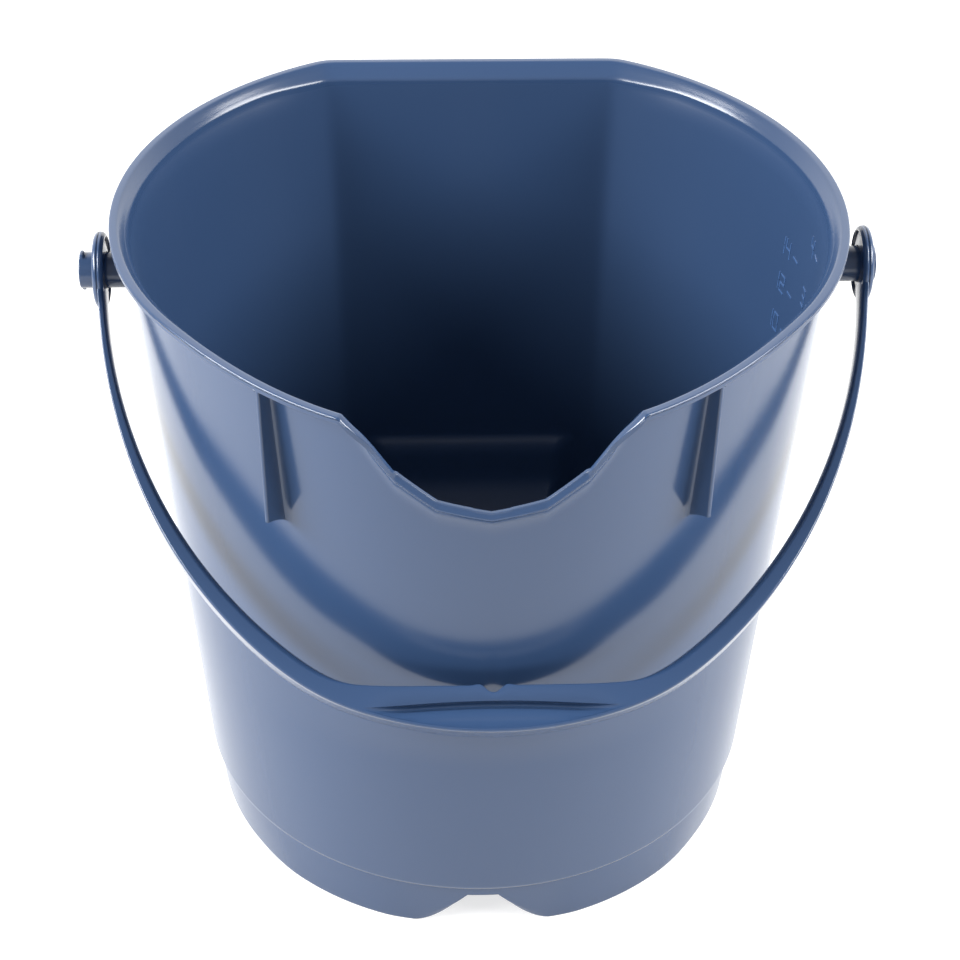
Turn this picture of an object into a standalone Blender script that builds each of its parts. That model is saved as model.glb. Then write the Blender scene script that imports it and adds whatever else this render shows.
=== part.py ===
"""Flat-backed feed bucket with a pouring spout and a swinging bail handle.

Metres, +Z up.  X runs from side to side along the bail's hinge, the pouring
spout faces -Y and the flat back faces +Y.  The origin lies on the ground
under the middle of the object's box.
"""
import math

import bmesh
import bpy
import numpy as np

# Overall
HEIGHT = 0.325                # ground to the top of the rim
RIM_R = 0.165                 # outer radius of the rolled rim
BACK_FLAT = 0.0171            # how far the flat back lies inside the round
FRAME_Y = 0.01454             # from the round's axis back to the middle of the box

# Wall
WALL_TOP_R = 0.158            # outer radius just under the rim
WALL_LOW_R = 0.1374           # outer radius at the step over the foot
STEP_Z = 0.030
WALL_T = 0.003
FOOT_R = 0.1327               # outer radius of the foot on the ground
STEP_IN = 0.0009              # how far the skirt sits in below the step
FLOOR_Z = 0.038               # top of the floor
UNDER_Z = 0.033               # underside of the floor
FLANGE_T = 0.0034             # height of the rim's outer face
RIM_FLAT = 0.0038             # flat on top of the rim
RIM_ROLL = 0.0054             # height of the slope from the flat down into the bucket

# Spout
SPOUT_PULL = 0.017            # how far the front is drawn out at the rim
SPOUT_HALF_DEG = 54.0         # half angle over which the front is drawn out
SPOUT_FADE_Z = 0.120          # height where the drawn-out front has faded
NOTCH_X = (0.0, 0.0223, 0.0393, 0.0530, 0.0592)
NOTCH_DEPTH = (0.0443, 0.0396, 0.0268, 0.0076, 0.0)
LIP_FLARE = 0.0035            # how far the lip turns out along the notch
LIP_BAND = 0.014              # height of the turned-out band

# Front arch in the foot
ARCH_HALF = 0.0335
ARCH_FLAT_HALF = 0.0076
ARCH_H = 0.0218

# Hand recess low in the back
GRIP_HALF = 0.053
GRIP_TOP_Z = 0.1115
GRIP_LEDGE = 0.006
GRIP_BEND_Z = 0.0855
GRIP_DEEP = 0.028

# Ribs under the rim beside the spout
RIB_DEG = 33.0
RIB_OUT_R = 0.1704
RIB_LOW_Z = 0.2555
RIB_T = 0.0022

# Pivot studs
PIVOT_Z = 0.2927
STUD_R = 0.0082
STUD_END_X = 0.1812
STUD_START_X = 0.1542
LUG_LONG = 0.0016
LUG_OUT = 0.0014
LUG_W = 0.0052

# Bail
BAIL_REST_DEG = 53.5          # from hanging straight down to resting on the front
EYE_X0 = 0.1717
EYE_X1 = 0.1768
EYE_R = 0.0175
EYE_HOLE_R = 0.00845
BOW_TOP = 0.0105              # centre of the bow's outlines above the pivot
BOW_OUT = (0.1751, 0.2268)    # half width and drop of the outer outline
BOW_IN = (0.1743, 0.2197)
BOW_CURVE = (0.949, 1.017)    # fullness of the outer and the inner outline
BOW_SHOULDER = (0.0020, 0.0014)
ARM_ROOT = 0.0022             # how much thicker the arms get towards the eyes
GRIP_INNER = 0.1955           # straight inner edge of the grip
BAIL_W_ARM = 0.0190           # strap width at the arms
BAIL_W_GRIP = 0.0140          # strap width at the grip
SCOOP_HALF = 0.052
SCOOP_DEEP = 0.004
HOOK_NOTCH = 0.0035           # hanging notch in the grip's inner edge

BLUE = (0.085, 0.150, 0.300)


def clear_scene():
    for old in list(bpy.data.objects):
        bpy.data.objects.remove(old, do_unlink=True)


def make_collection(name):
    made = bpy.data.collections.new(name)
    bpy.context.scene.collection.children.link(made)
    return made


def make_material(name, colour, roughness):
    made = bpy.data.materials.new(name)
    made.use_nodes = True
    shader = made.node_tree.nodes["Principled BSDF"]
    shader.inputs["Base Color"].default_value = (*colour, 1.0)
    shader.inputs["Roughness"].default_value = roughness
    shader.inputs["Metallic"].default_value = 0.0
    return made


def smoothstep(x):
    x = np.clip(x, 0.0, 1.0)
    return x * x * (3.0 - 2.0 * x)


# ---------------------------------------------------------------- shell plan

def plan_radius(angle, radius):
    """Radius of the flat-backed round, with angle 0 at the spout."""
    back = -np.cos(angle)
    flat = np.where(back > 0.05, (radius - BACK_FLAT) / np.maximum(back, 0.05), 1.0)
    return (radius ** -170.0 + flat ** -170.0) ** (-1.0 / 170.0)


def wall_radius(z):
    """Outer radius of the tapered wall."""
    return WALL_LOW_R + (WALL_TOP_R - WALL_LOW_R) * (z - STEP_Z) / (0.320 - STEP_Z)


def pull(angle, z):
    """How far the front is drawn out towards the spout."""
    away = np.abs(np.degrees(angle)) / SPOUT_HALF_DEG
    around = np.where(away < 1.0, np.cos(0.5 * math.pi * np.minimum(away, 1.0)) ** 2, 0.0)
    rise = np.clip((z - SPOUT_FADE_Z) / (HEIGHT - SPOUT_FADE_Z), 0.0, 1.0)
    return SPOUT_PULL * around * rise * (1.0 + 0.25 * (1.0 - rise))


def notch_depth(x):
    """Depth of the spout's opening below the rim at a distance from the middle."""
    return np.interp(np.abs(x), NOTCH_X, NOTCH_DEPTH, right=0.0)


def arch_height(x):
    """Height of the arch cut into the front of the foot."""
    t = np.clip((ARCH_HALF - np.abs(x)) / (ARCH_HALF - ARCH_FLAT_HALF), 0.0, 1.0)
    return ARCH_H * t ** 1.55


def grip_inset(x, z):
    """Depth of the hand recess in the back wall."""
    across = smoothstep((GRIP_HALF + 0.004 - np.abs(x)) / 0.008)
    ledge = GRIP_LEDGE * smoothstep((GRIP_TOP_Z - z) / 0.003)
    slope = np.clip((GRIP_BEND_Z - z) * 0.75, 0.0, GRIP_DEEP - GRIP_LEDGE)
    return across * (ledge + slope)


def column_angles():
    """Angles of the shell's columns, closer at the spout, arch, ribs and back."""
    front = [0.0, 1.6, 3.4]
    front += [5.2, 7.2, 9.4, 11.6]
    front += [13.3, 15.0, 16.7, 18.4, 19.0, 19.8, 20.8, 22.5, 25.0]
    front += list(np.arange(29.0, 150.0, 5.5))
    front += [151.0, 152.4, 153.8, 155.2, 156.6]
    front += [157.9, 159.0, 160.1, 163.5, 168.0, 174.0, 180.0]
    half = np.radians(np.array(front))
    return np.concatenate([half, -half[1:-1][::-1]])


def shell_mesh():
    """The bucket as one loft: under the floor, up outside, over and down inside."""
    angle = column_angles()
    count = len(angle)
    sin_a = np.sin(angle)
    cos_a = np.cos(angle)
    front = cos_a > 0.5
    back = cos_a < -0.5

    rim_plan = plan_radius(angle, RIM_R)
    drop = np.where(front, notch_depth((rim_plan + 0.009) * sin_a), 0.0)
    top = HEIGHT - drop
    open_part = smoothstep(drop / 0.016)
    arch = np.where(front, arch_height(FOOT_R * sin_a), 0.0)

    def lip(z):
        near = np.clip(1.0 - (top - z) / LIP_BAND, 0.0, 1.0)
        return LIP_FLARE * near ** 2 * open_part

    def outer(z, radius, extra=0.0):
        r = plan_radius(angle, radius) + pull(angle, z) + extra
        x = r * sin_a
        y = -r * cos_a
        scale = np.where(back, 1.0 - grip_inset(x, z) / np.maximum(y, 0.01), 1.0)
        return np.stack([x * scale, y * scale, z + 0.0 * x], axis=1)

    rows = []
    ring_r = FOOT_R - WALL_T
    under = np.full(count, UNDER_Z)
    for share in (0.35, 0.75, 0.93):
        rows.append(outer(under, ring_r) * np.array([share, share, 1.0]))
    rows.append(outer(under - 0.003, ring_r + 0.0005))
    rows.append(outer(arch, ring_r + 0.0002))
    rows.append(outer(arch, FOOT_R))
    skirt_top = np.full(count, STEP_Z - 0.0012)
    skirt_r = WALL_LOW_R - STEP_IN
    for share in (0.35, 0.7):
        z = arch + (skirt_top - arch) * share
        rows.append(outer(z, FOOT_R + (skirt_r - FOOT_R) * share))
    rows.append(outer(skirt_top, skirt_r))
    rows.append(outer(np.full(count, STEP_Z), wall_radius(STEP_Z)))

    flange_z = top - FLANGE_T
    fixed = [0.046, 0.060, 0.0825, 0.0885, 0.1083, 0.1098, 0.1115, 0.117, 0.140, 0.167, 0.195]
    for z in fixed:
        rows.append(outer(np.full(count, z), wall_radius(z)))
    for share in (0.3, 0.6):
        z = 0.195 + (flange_z - LIP_BAND - 0.195) * share
        rows.append(outer(z, wall_radius(z)))
    for share in (1.0, 0.5):
        z = flange_z - LIP_BAND * share
        rows.append(outer(z, wall_radius(z), lip(z)))

    overhang = (RIM_R - WALL_TOP_R) * (1.0 - open_part) + 0.0008 * open_part
    thick = WALL_T
    face = wall_radius(flange_z) + lip(flange_z)
    rows.append(outer(flange_z - 0.0006, face))
    rows.append(outer(flange_z, face + overhang - 0.0005))
    rows.append(outer(flange_z + 0.0005, face + overhang))
    rows.append(outer(top - 0.0009, face + overhang))
    rows.append(outer(top, face + overhang - 0.0009))
    flat = RIM_FLAT * (1.0 - open_part) + 0.0016 * open_part
    roll = RIM_ROLL * (1.0 - open_part) + 0.0010 * open_part
    inner_face = face + overhang - 0.0009 - flat
    rows.append(outer(top, inner_face))
    end_face = wall_radius(top - roll) + lip(top - roll) - thick
    for inward, down in ((0.30, 0.16), (0.86, 0.78), (1.0, 1.0)):
        z = top - roll * down
        rows.append(outer(z, inner_face + (end_face - inner_face) * inward))
    for share in (0.5, 1.0):
        z = top - roll - (LIP_BAND - 0.002) * share
        rows.append(outer(z, wall_radius(z) + lip(z) - thick))
    low_top = top - roll - (LIP_BAND - 0.002)
    for share in (0.35, 0.7):
        z = low_top + (0.195 - low_top) * share
        rows.append(outer(z, wall_radius(z) - thick))
    for z in fixed[:0:-1]:
        rows.append(outer(np.full(count, z), wall_radius(z) - thick))
    rows.append(outer(np.full(count, FLOOR_Z + 0.009), wall_radius(FLOOR_Z + 0.009) - thick))
    rows.append(outer(np.full(count, FLOOR_Z + 0.0025), wall_radius(FLOOR_Z) - thick - 0.0025))
    floor_edge = outer(np.full(count, FLOOR_Z), wall_radius(FLOOR_Z) - thick - 0.009)
    rows.append(floor_edge)
    for share in (0.75, 0.35):
        rows.append(floor_edge * np.array([share, share, 1.0]))

    points = np.concatenate(rows)
    depth = len(rows)
    low_pole = len(points)
    high_pole = low_pole + 1
    points = np.concatenate([points, [[0.0, 0.0, UNDER_Z], [0.0, 0.0, FLOOR_Z]]])
    points[:, 1] += FRAME_Y

    faces = []
    for row in range(depth - 1):
        for col in range(count):
            nxt = (col + 1) % count
            a = row * count + col
            b = row * count + nxt
            c = b + count
            d = a + count
            faces.append((a, b, c))
            faces.append((a, c, d))
    last = (depth - 1) * count
    for col in range(count):
        nxt = (col + 1) % count
        faces.append((low_pole, nxt, col))
        faces.append((high_pole, last + col, last + nxt))
    mesh = bpy.data.meshes.new("bucket_shell")
    mesh.from_pydata([tuple(p) for p in points], [], faces)
    return mesh


# -------------------------------------------------------------------- solids

def make_cylinder(name, radius, x0, x1, z, segments, collection):
    """A cylinder along X between two stations."""
    bm = bmesh.new()
    bmesh.ops.create_cone(bm, cap_ends=True, segments=segments, radius1=radius,
                          radius2=radius, depth=abs(x1 - x0))
    mesh = bpy.data.meshes.new(name)
    bm.to_mesh(mesh)
    bm.free()
    obj = bpy.data.objects.new(name, mesh)
    obj.rotation_euler = (0.0, 0.5 * math.pi, 0.0)
    obj.location = (0.5 * (x0 + x1), FRAME_Y, z)
    collection.objects.link(obj)
    return obj


def make_box(name, low, high, collection):
    """An upright box between two corners, given from the round's axis."""
    bm = bmesh.new()
    bmesh.ops.create_cube(bm, size=1.0)
    size = [h - l for l, h in zip(low, high)]
    bmesh.ops.scale(bm, vec=size, verts=bm.verts)
    mid = [0.5 * (l + h) for l, h in zip(low, high)]
    bmesh.ops.translate(bm, vec=mid, verts=bm.verts)
    mesh = bpy.data.meshes.new(name)
    bm.to_mesh(mesh)
    bm.free()
    obj = bpy.data.objects.new(name, mesh)
    obj.location = (0.0, FRAME_Y, 0.0)
    collection.objects.link(obj)
    return obj


def make_rib(name, side, collection):
    """A plate standing out from the front wall, square to it, under the rim."""
    angle = math.radians(RIB_DEG)
    top_z = HEIGHT - FLANGE_T - 0.0002 + 0.0012
    root_r = 0.1585
    low_root = 0.1530
    outline = [
        (root_r + 0.0020, top_z),
        (RIB_OUT_R, top_z),
        (RIB_OUT_R, RIB_LOW_Z),
        (RIB_OUT_R - 0.0030, RIB_LOW_Z - 0.0012),
        (RIB_OUT_R - 0.0068, RIB_LOW_Z - 0.0040),
        (low_root + 0.0028, RIB_LOW_Z - 0.0095),
    ]
    verts = []
    across = (math.cos(angle) * side, math.sin(angle))
    for half in (-0.5, 0.5):
        for r, z in outline:
            x = side * r * math.sin(angle) + across[0] * RIB_T * half
            y = -r * math.cos(angle) + across[1] * RIB_T * half
            verts.append((x, y, z))
    n = len(outline)
    faces = [tuple(range(n)), tuple(range(2 * n - 1, n - 1, -1))]
    for k in range(n):
        j = (k + 1) % n
        faces.append((k, k + n, j + n, j))
    mesh = bpy.data.meshes.new(name)
    mesh.from_pydata(verts, [], faces)
    bm = bmesh.new()
    bm.from_mesh(mesh)
    bmesh.ops.recalc_face_normals(bm, faces=bm.faces)
    bm.to_mesh(mesh)
    bm.free()
    obj = bpy.data.objects.new(name, mesh)
    obj.location = (0.0, FRAME_Y, 0.0)
    collection.objects.link(obj)
    return obj


def combine(target, tool, operation):
    mod = target.modifiers.new(tool.name, "BOOLEAN")
    mod.operation = operation
    mod.solver = "EXACT"
    mod.object = tool
    tool.hide_render = True
    tool.display_type = "WIRE"


# ---------------------------------------------------------------------- bail

def bail_mesh():
    """The bail's bow and grip: a loft of rounded bars along two outlines.

    Local frame: X along the hinge, -Y square to the bow towards the front
    face, -Z from the hinge to the grip.
    """
    turn = np.linspace(0.0, math.pi, 65)
    cx = np.cos(turn)
    sx = np.maximum(np.sin(turn), 0.0)
    out_x = BOW_OUT[0] * np.sign(cx) * np.abs(cx) ** BOW_CURVE[0]
    out_v = BOW_OUT[1] * sx ** BOW_CURVE[0] - BOW_TOP
    out_v = out_v + BOW_SHOULDER[0] * np.exp(-(((np.abs(out_x) - 0.078) / 0.030) ** 2))
    in_x = BOW_IN[0] * np.sign(cx) * np.abs(cx) ** BOW_CURVE[1]
    raw = BOW_IN[1] * sx ** BOW_CURVE[1] - BOW_TOP
    in_x = in_x - np.sign(cx) * ARM_ROOT * np.exp(-(raw + BOW_TOP) / 0.025)
    raw = raw + BOW_SHOULDER[1] * np.exp(-(((np.abs(in_x) - 0.070) / 0.028) ** 2))
    k = 420.0
    in_v = -np.log(np.exp(-k * raw) + np.exp(-k * (GRIP_INNER + 0.0006))) / k
    hook = np.clip(1.0 - np.abs(in_x) / 0.0060, 0.0, 1.0)
    in_v = in_v + HOOK_NOTCH * hook

    grip = smoothstep((0.110 - np.abs(out_x)) / 0.070)
    half_w = 0.5 * (BAIL_W_ARM + (BAIL_W_GRIP - BAIL_W_ARM) * grip)
    half_w = half_w + 0.0055 * np.exp(-((out_v / 0.016) ** 2))
    in_eye = np.sqrt(np.maximum((EYE_R - 0.0008) ** 2 - out_v ** 2, 0.00001))
    half_w = np.where(out_v < 0.0, np.minimum(half_w, in_eye), half_w)
    scoop = SCOOP_DEEP * smoothstep((SCOOP_HALF - np.abs(out_x)) / 0.014)

    # stations across the bar from the inner to the outer edge, and front depth
    share = (0.0, 0.12, 0.30, 0.42, 0.60, 0.80, 0.93, 1.0)
    dip = (0.0, 0.0, 0.0, 1.0, 0.75, 0.30, 0.0, 0.0)
    soften = (0.0016, 0.0, 0.0, 0.0, 0.0, 0.0, 0.0, 0.0016)
    rings = []
    for s, d, e in zip(share, dip, soften):
        x = in_x + (out_x - in_x) * s
        v = in_v + (out_v - in_v) * s
        y = -(half_w - scoop * d - e)
        rings.append(np.stack([x, y, -v], axis=1))
    for s, e in ((1.0, 0.0016), (0.88, 0.0), (0.12, 0.0), (0.0, 0.0016)):
        x = in_x + (out_x - in_x) * s
        v = in_v + (out_v - in_v) * s
        y = half_w - e
        rings.append(np.stack([x, y, -v], axis=1))
    around = len(rings)
    along = len(turn)
    points = np.stack(rings, axis=1).reshape(-1, 3)
    faces = []
    for i in range(along - 1):
        for j in range(around):
            nj = (j + 1) % around
            a = i * around + j
            b = i * around + nj
            c = b + around
            d = a + around
            faces.append((a, c, b))
            faces.append((a, d, c))
    faces.append(tuple(range(around)))
    end = (along - 1) * around
    faces.append(tuple(range(end + around - 1, end - 1, -1)))
    mesh = bpy.data.meshes.new("bail_handle")
    mesh.from_pydata([tuple(p) for p in points], [], faces)
    bm = bmesh.new()
    bm.from_mesh(mesh)
    bmesh.ops.recalc_face_normals(bm, faces=bm.faces)
    bm.to_mesh(mesh)
    bm.free()
    return mesh


def finish_smooth(obj, angle_deg):
    for poly in obj.data.polygons:
        poly.use_smooth = True
    obj.data.set_sharp_from_angle(angle=math.radians(angle_deg))


def build():
    clear_scene()
    parts = make_collection("feed_bucket")
    tools = make_collection("feed_bucket_tools")

    shell = bpy.data.objects.new("bucket_shell", shell_mesh())
    parts.objects.link(shell)
    shell.data.materials.append(make_material("bucket_blue", BLUE, 0.28))
    finish_smooth(shell, 40.0)
    for side, word in ((-1, "right"), (1, "left")):
        rib = make_rib("rib_" + word, side, tools)
        combine(shell, rib, "UNION")
        stud = make_cylinder("stud_" + word, STUD_R, side * STUD_START_X,
                             side * STUD_END_X, PIVOT_Z, 48, tools)
        combine(shell, stud, "UNION")
        for updown in (-1, 1):
            radial = sorted([updown * (STUD_R - 0.002), updown * (STUD_R + LUG_OUT)])
            ends = sorted([side * (STUD_END_X - 0.0004), side * (STUD_END_X - 0.0004 - LUG_LONG)])
            lug = make_box("lug_%s_%s" % (word, "top" if updown > 0 else "low"),
                           (ends[0], -0.5 * LUG_W, PIVOT_Z + radial[0]),
                           (ends[1], 0.5 * LUG_W, PIVOT_Z + radial[1]), tools)
            combine(shell, lug, "UNION")

    bail = bpy.data.objects.new("bail_handle", bail_mesh())
    parts.objects.link(bail)
    bail.location = (0.0, FRAME_Y, PIVOT_Z)
    bail.rotation_euler = (math.radians(-BAIL_REST_DEG), 0.0, 0.0)
    bail.data.materials.append(make_material("bail_blue", BLUE, 0.28))
    finish_smooth(bail, 40.0)
    for side, word in ((-1, "right"), (1, "left")):
        eye = make_cylinder("eye_" + word, EYE_R, side * EYE_X0, side * EYE_X1, PIVOT_Z, 48, tools)
        combine(bail, eye, "UNION")
    for side, word in ((-1, "right"), (1, "left")):
        hole = make_cylinder("eye_hole_" + word, EYE_HOLE_R, side * (EYE_X0 - 0.004),
                             side * (EYE_X1 + 0.004), PIVOT_Z, 48, tools)
        combine(bail, hole, "DIFFERENCE")


build()
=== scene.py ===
import math

import bmesh
import bpy
import numpy as np
from mathutils import Matrix, Vector


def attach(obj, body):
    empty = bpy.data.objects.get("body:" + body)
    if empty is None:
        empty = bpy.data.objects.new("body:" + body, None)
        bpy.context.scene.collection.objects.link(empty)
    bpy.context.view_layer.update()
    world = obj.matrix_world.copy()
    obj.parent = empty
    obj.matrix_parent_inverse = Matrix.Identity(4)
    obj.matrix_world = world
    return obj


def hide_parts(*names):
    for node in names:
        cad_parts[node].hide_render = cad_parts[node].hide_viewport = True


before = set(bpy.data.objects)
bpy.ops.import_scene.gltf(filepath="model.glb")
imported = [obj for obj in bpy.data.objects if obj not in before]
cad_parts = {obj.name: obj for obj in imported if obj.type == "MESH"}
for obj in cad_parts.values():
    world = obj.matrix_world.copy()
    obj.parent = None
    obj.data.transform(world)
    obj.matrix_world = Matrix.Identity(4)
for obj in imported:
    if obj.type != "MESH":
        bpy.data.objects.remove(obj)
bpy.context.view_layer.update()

# Flat-backed stable bucket with a pouring spout, moulded in one blue plastic, and its
# swinging bail. Metres; x runs along the bail's hinge, -y is the spout, +z is up.


def smooth(t):
    # 3t^2 - 2t^3 between 0 and 1, flat outside
    t = np.clip(t, 0.0, 1.0)
    return t * t * (3.0 - 2.0 * t)


def gridMesh(name, grid, wrap=True, poles=None, caps=False, flip=False):
    # grid is rows x columns x 3; quads join each row to the next, poles close the two
    # ends with fans, caps close them with one face each
    rows, cols = grid.shape[:2]
    verts = grid.reshape(-1, 3)
    r, c = np.meshgrid(np.arange(rows - 1), np.arange(cols if wrap else cols - 1), indexing="ij")
    a = r * cols + c
    b = r * cols + (c + 1) % cols
    quads = np.stack([a, b, b + cols, a + cols], axis=-1).reshape(-1, 4)
    faces = quads[:, ::-1].tolist() if flip else quads.tolist()
    if poles is not None:
        verts = np.concatenate([verts, np.array(poles)])
        ring = np.arange(cols)
        nxt = (ring + 1) % cols
        first = np.stack([np.full(cols, rows * cols), nxt, ring], axis=-1)
        last = np.stack([np.full(cols, rows * cols + 1), ring, nxt], axis=-1)
        last[:, 1:] += (rows - 1) * cols
        fans = np.concatenate([first, last])
        faces += fans[:, ::-1].tolist() if flip else fans.tolist()
    if caps:
        start = list(range(cols))
        end = [(rows - 1) * cols + k for k in range(cols)]
        faces += [start if flip else start[::-1], end[::-1] if flip else end]
    mesh = bpy.data.meshes.new(name)
    mesh.from_pydata(verts.tolist(), [], faces)
    mesh.polygons.foreach_set("use_smooth", np.ones(len(mesh.polygons), dtype=bool))
    mesh.update()
    piece = bpy.data.objects.new(name, mesh)
    bpy.context.scene.collection.objects.link(piece)
    return piece


def pointAttribute(piece, name, values):
    # one number for each point, under a name that a material can read
    layer = piece.data.attributes.new(name, "FLOAT", "POINT")
    layer.data.foreach_set("value", np.asarray(values, dtype=np.float32))


# sizes of the bucket, in metres and degrees
bucket = {
    "height": 0.325,
    "rimRadius": 0.165,
    "backFlat": 0.0171,          # the flat back inside the round
    "cornerSharp": 170.0,        # higher makes the corners of the flat back sharper
    "cornerFade": (138.0, 14.0),  # degrees from the front where the back begins, and its fade
    "yCentre": 0.01454,          # the round's axis in the frame
    "wallTop": 0.158,            # outer radius at wallTopZ
    "wallTopZ": 0.320,
    "wallLow": 0.1374,           # outer radius at stepZ
    "stepZ": 0.030,
    "stepIn": 0.0020,
    "stepRound": 0.0030,         # height of the rounding along the wall's lower edge
    "stepBelow": 0.0022,         # the step starts this far under stepZ
    "ledgeRound": 0.0008,        # height and width of the rounding under the step
    "ledgeOut": 0.0003,
    "footSwell": 0.0010,         # the foot stands out a little between the lobes and the sides
    "thick": 0.003,
    "footRadius": 0.1327,
    "footRound": 0.0009,         # rounding of the foot ring's two lower edges
    "footInset": 0.0002,
    "floorTop": 0.038,
    "floorUnder": 0.033,
    "floorFillet": 0.009,
    "underFillet": 0.003,
    "floorOut": 0.0006,
    "rimFace": 0.0034,           # height of the rim's outer face
    "rimFlat": 0.0024,
    "rimSlope": 0.0068,
    "rimFrontSlope": 0.0010,     # the slope is this much lower away from the back
    "rimEdge": 0.0007,           # rounding of the rim's lower and upper outer edges
    "rimRound": 0.0009,
    "rimThin": 0.0017,           # the round rim is this much thinner inside than the wall
    "spoutPull": 0.017,
    "spoutHalf": 54.0,           # degrees to each side
    "spoutFade": 0.120,          # the spout starts to grow at this height
    "spoutBelly": 0.25,
    # the notch's outline: places to the side, and how deep it is there
    "notchX": (0.0, 0.0223, 0.0393, 0.0530, 0.0592),
    "notchDrop": (0.0443, 0.0396, 0.0268, 0.0076, 0.0),
    "notchReach": 0.009,         # the rim's plan stands out this much more at the notch
    "notchFade": 0.016,          # the rim has turned into the lip this far down
    "lipFlare": 0.0035,          # the wall flares out by this, within lipBand of the notch
    "lipBand": 0.014,
    "lipLean": 0.0014,           # how far the lip's face leans back towards its top
    "lipHalf": 0.0393,           # the leaning face ends here on both sides
    "lipStand": (0.0003, 0.0086),  # the middle of the lip stands out this much, and its half width
    "lipOver": 0.0005,           # the lip's overhang, top width, slope and edge rounding
    "lipFlat": 0.0016,
    "lipSlope": 0.0010,
    "lipRound": 0.0002,
    "faceFade": 0.0006,
    "archHalf": 0.0333,
    "archFlat": 0.0073,
    "archHigh": 0.0218,
    "archCurve": 1.55,
    "recessHalf": 0.053,
    "recessSide": 0.014,         # width of the fade at each side
    "recessTop": 0.1115,
    "recessLedge": 0.0042,
    "recessBend": 0.0855,
    "recessSteep": 0.75,         # how far in for each metre down
    "recessSoft": 0.003,         # roundness of the bend
    "recessDeep": 0.028,
    "ribAngle": 33.06,
    "ribWall": 0.1585,           # wall radius at which the rib's thickness is measured
    "ribOut": (0.1706, 0.0014),  # radius under the rim, and how much less at the low end
    "ribTop": 0.3216,
    "ribLong": 0.066,
    "ribLow": 0.2553,
    "ribToe": (0.0126, 0.0062, 0.72),  # the low end's fall to the wall, its height and its curve
    "ribEdge": 0.0008,           # half thickness at the outer edge and at the root
    "ribRoot": 0.0012,
    "ribFillet": 0.0006,
}


def planRadius(angle, radius):
    # the smaller of the circle's radius and the distance to the flat back's line,
    # joined by a power mean so that the corner is rounded
    b = bucket
    back = -np.cos(angle)
    flat = np.where(back > 0.05, (radius - b["backFlat"]) / np.maximum(back, 0.05), 1.0)
    return (radius ** -b["cornerSharp"] + flat ** -b["cornerSharp"]) ** (-1.0 / b["cornerSharp"])


def wallRadius(z):
    # straight taper from the step to the rim
    b = bucket
    share = (z - b["stepZ"]) / (b["wallTopZ"] - b["stepZ"])
    return b["wallLow"] + (b["wallTop"] - b["wallLow"]) * share


def spoutPull(angle, z):
    # squared cosine round the front, growing with height
    b = bucket
    away = np.abs(np.degrees(angle)) / b["spoutHalf"]
    around = np.where(away < 1.0, np.cos(0.5 * math.pi * np.minimum(away, 1.0)) ** 2, 0.0)
    rise = np.clip((z - b["spoutFade"]) / (b["height"] - b["spoutFade"]), 0.0, 1.0)
    return b["spoutPull"] * around * rise * (1.0 + b["spoutBelly"] * (1.0 - rise))


def recessDepth(x, z):
    # a rounded ledge, then a slope going in, whose start is a softened hinge (the log of
    # a sum of exponentials), faded at both sides
    b = bucket
    side = b["recessSide"]
    soft = b["recessSoft"]
    across = smooth((b["recessHalf"] + 0.5 * side - np.abs(x)) / side)
    ledge = b["recessLedge"] * smooth((b["recessTop"] + 0.001 - z) / 0.010)
    below = (b["recessBend"] - z) * b["recessSteep"]
    slope = soft * np.log1p(np.exp(np.clip(below / soft, -30.0, 30.0)))
    return across * (ledge + np.minimum(slope, b["recessDeep"] - b["recessLedge"]))


def ribKnots():
    # angle offsets across a rib in degrees, how far its top edge is cut back at each, and
    # the height of the quarter-round fillet at its root
    b = bucket
    edge = b["ribEdge"]
    fillet = b["ribFillet"]
    turn = np.linspace(0.0, 0.5 * math.pi, 7)
    nearRoot = b["ribRoot"] - 0.00004
    offs = np.concatenate([edge * np.array([0.0, 0.45, 0.75, 0.92, 1.0, 1.03]),
                           [nearRoot], b["ribRoot"] + fillet * np.sin(turn)])
    cut = np.concatenate([edge * np.array([0.0, 0.06, 0.25, 0.55, 1.0, 1.7]), np.full(8, 1.0)])
    root = np.concatenate([np.zeros(6), [1.5 * fillet], fillet * (1.0 - np.sin(turn))])
    return np.degrees(offs / b["ribWall"]), cut, root


def columnAngles():
    # one half in degrees from the front, dense at the notch, the ribs and the corners of
    # the flat back, then the other half as its mirror image
    offs = ribKnots()[0]
    near = bucket["ribAngle"] + np.concatenate([-offs[::-1], offs[1:]])
    parts = [np.arange(0.0, 22.7, 0.35), np.arange(23.2, near[0] - 0.3, 0.9), near,
             np.arange(near[-1] + 0.4, 47.0, 0.9), np.arange(47.5, 148.0, 1.8),
             np.arange(148.4, 168.0, 0.6), np.arange(168.8, 179.5, 1.5), [180.0]]
    half = np.radians(np.concatenate(parts))
    return np.concatenate([half, -half[1:-1][::-1]])


def ribHeight(angle, z, wall):
    # a plate from the wall out to the rim's radius, whose low end falls to the wall as a
    # power of the depth below it; near the root the fillet's height is taken if larger
    b = bucket
    offs, cuts, roots = ribKnots()
    away = np.abs(np.abs(np.degrees(angle)) - b["ribAngle"])
    below = np.clip(b["ribLow"] - z, 0.0, None)
    outer = b["ribOut"][0] - b["ribOut"][1] * np.clip((b["ribTop"] - z) / b["ribLong"], 0.0, 1.0)
    fall, toe, power = b["ribToe"]
    outer = outer - fall * (below / toe) ** power
    full = np.maximum(outer - wall, 0.0)
    cut = np.interp(away, offs, cuts, right=1.0)
    root = np.interp(away, offs, roots, right=0.0)
    present = smooth((z - b["ribLow"] + 0.0085) / 0.0030)
    plate = np.where(cut < 0.5, np.maximum(full - cut, 0.0), 0.0)
    return np.maximum(plate, np.minimum(root, full) * present)


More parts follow.
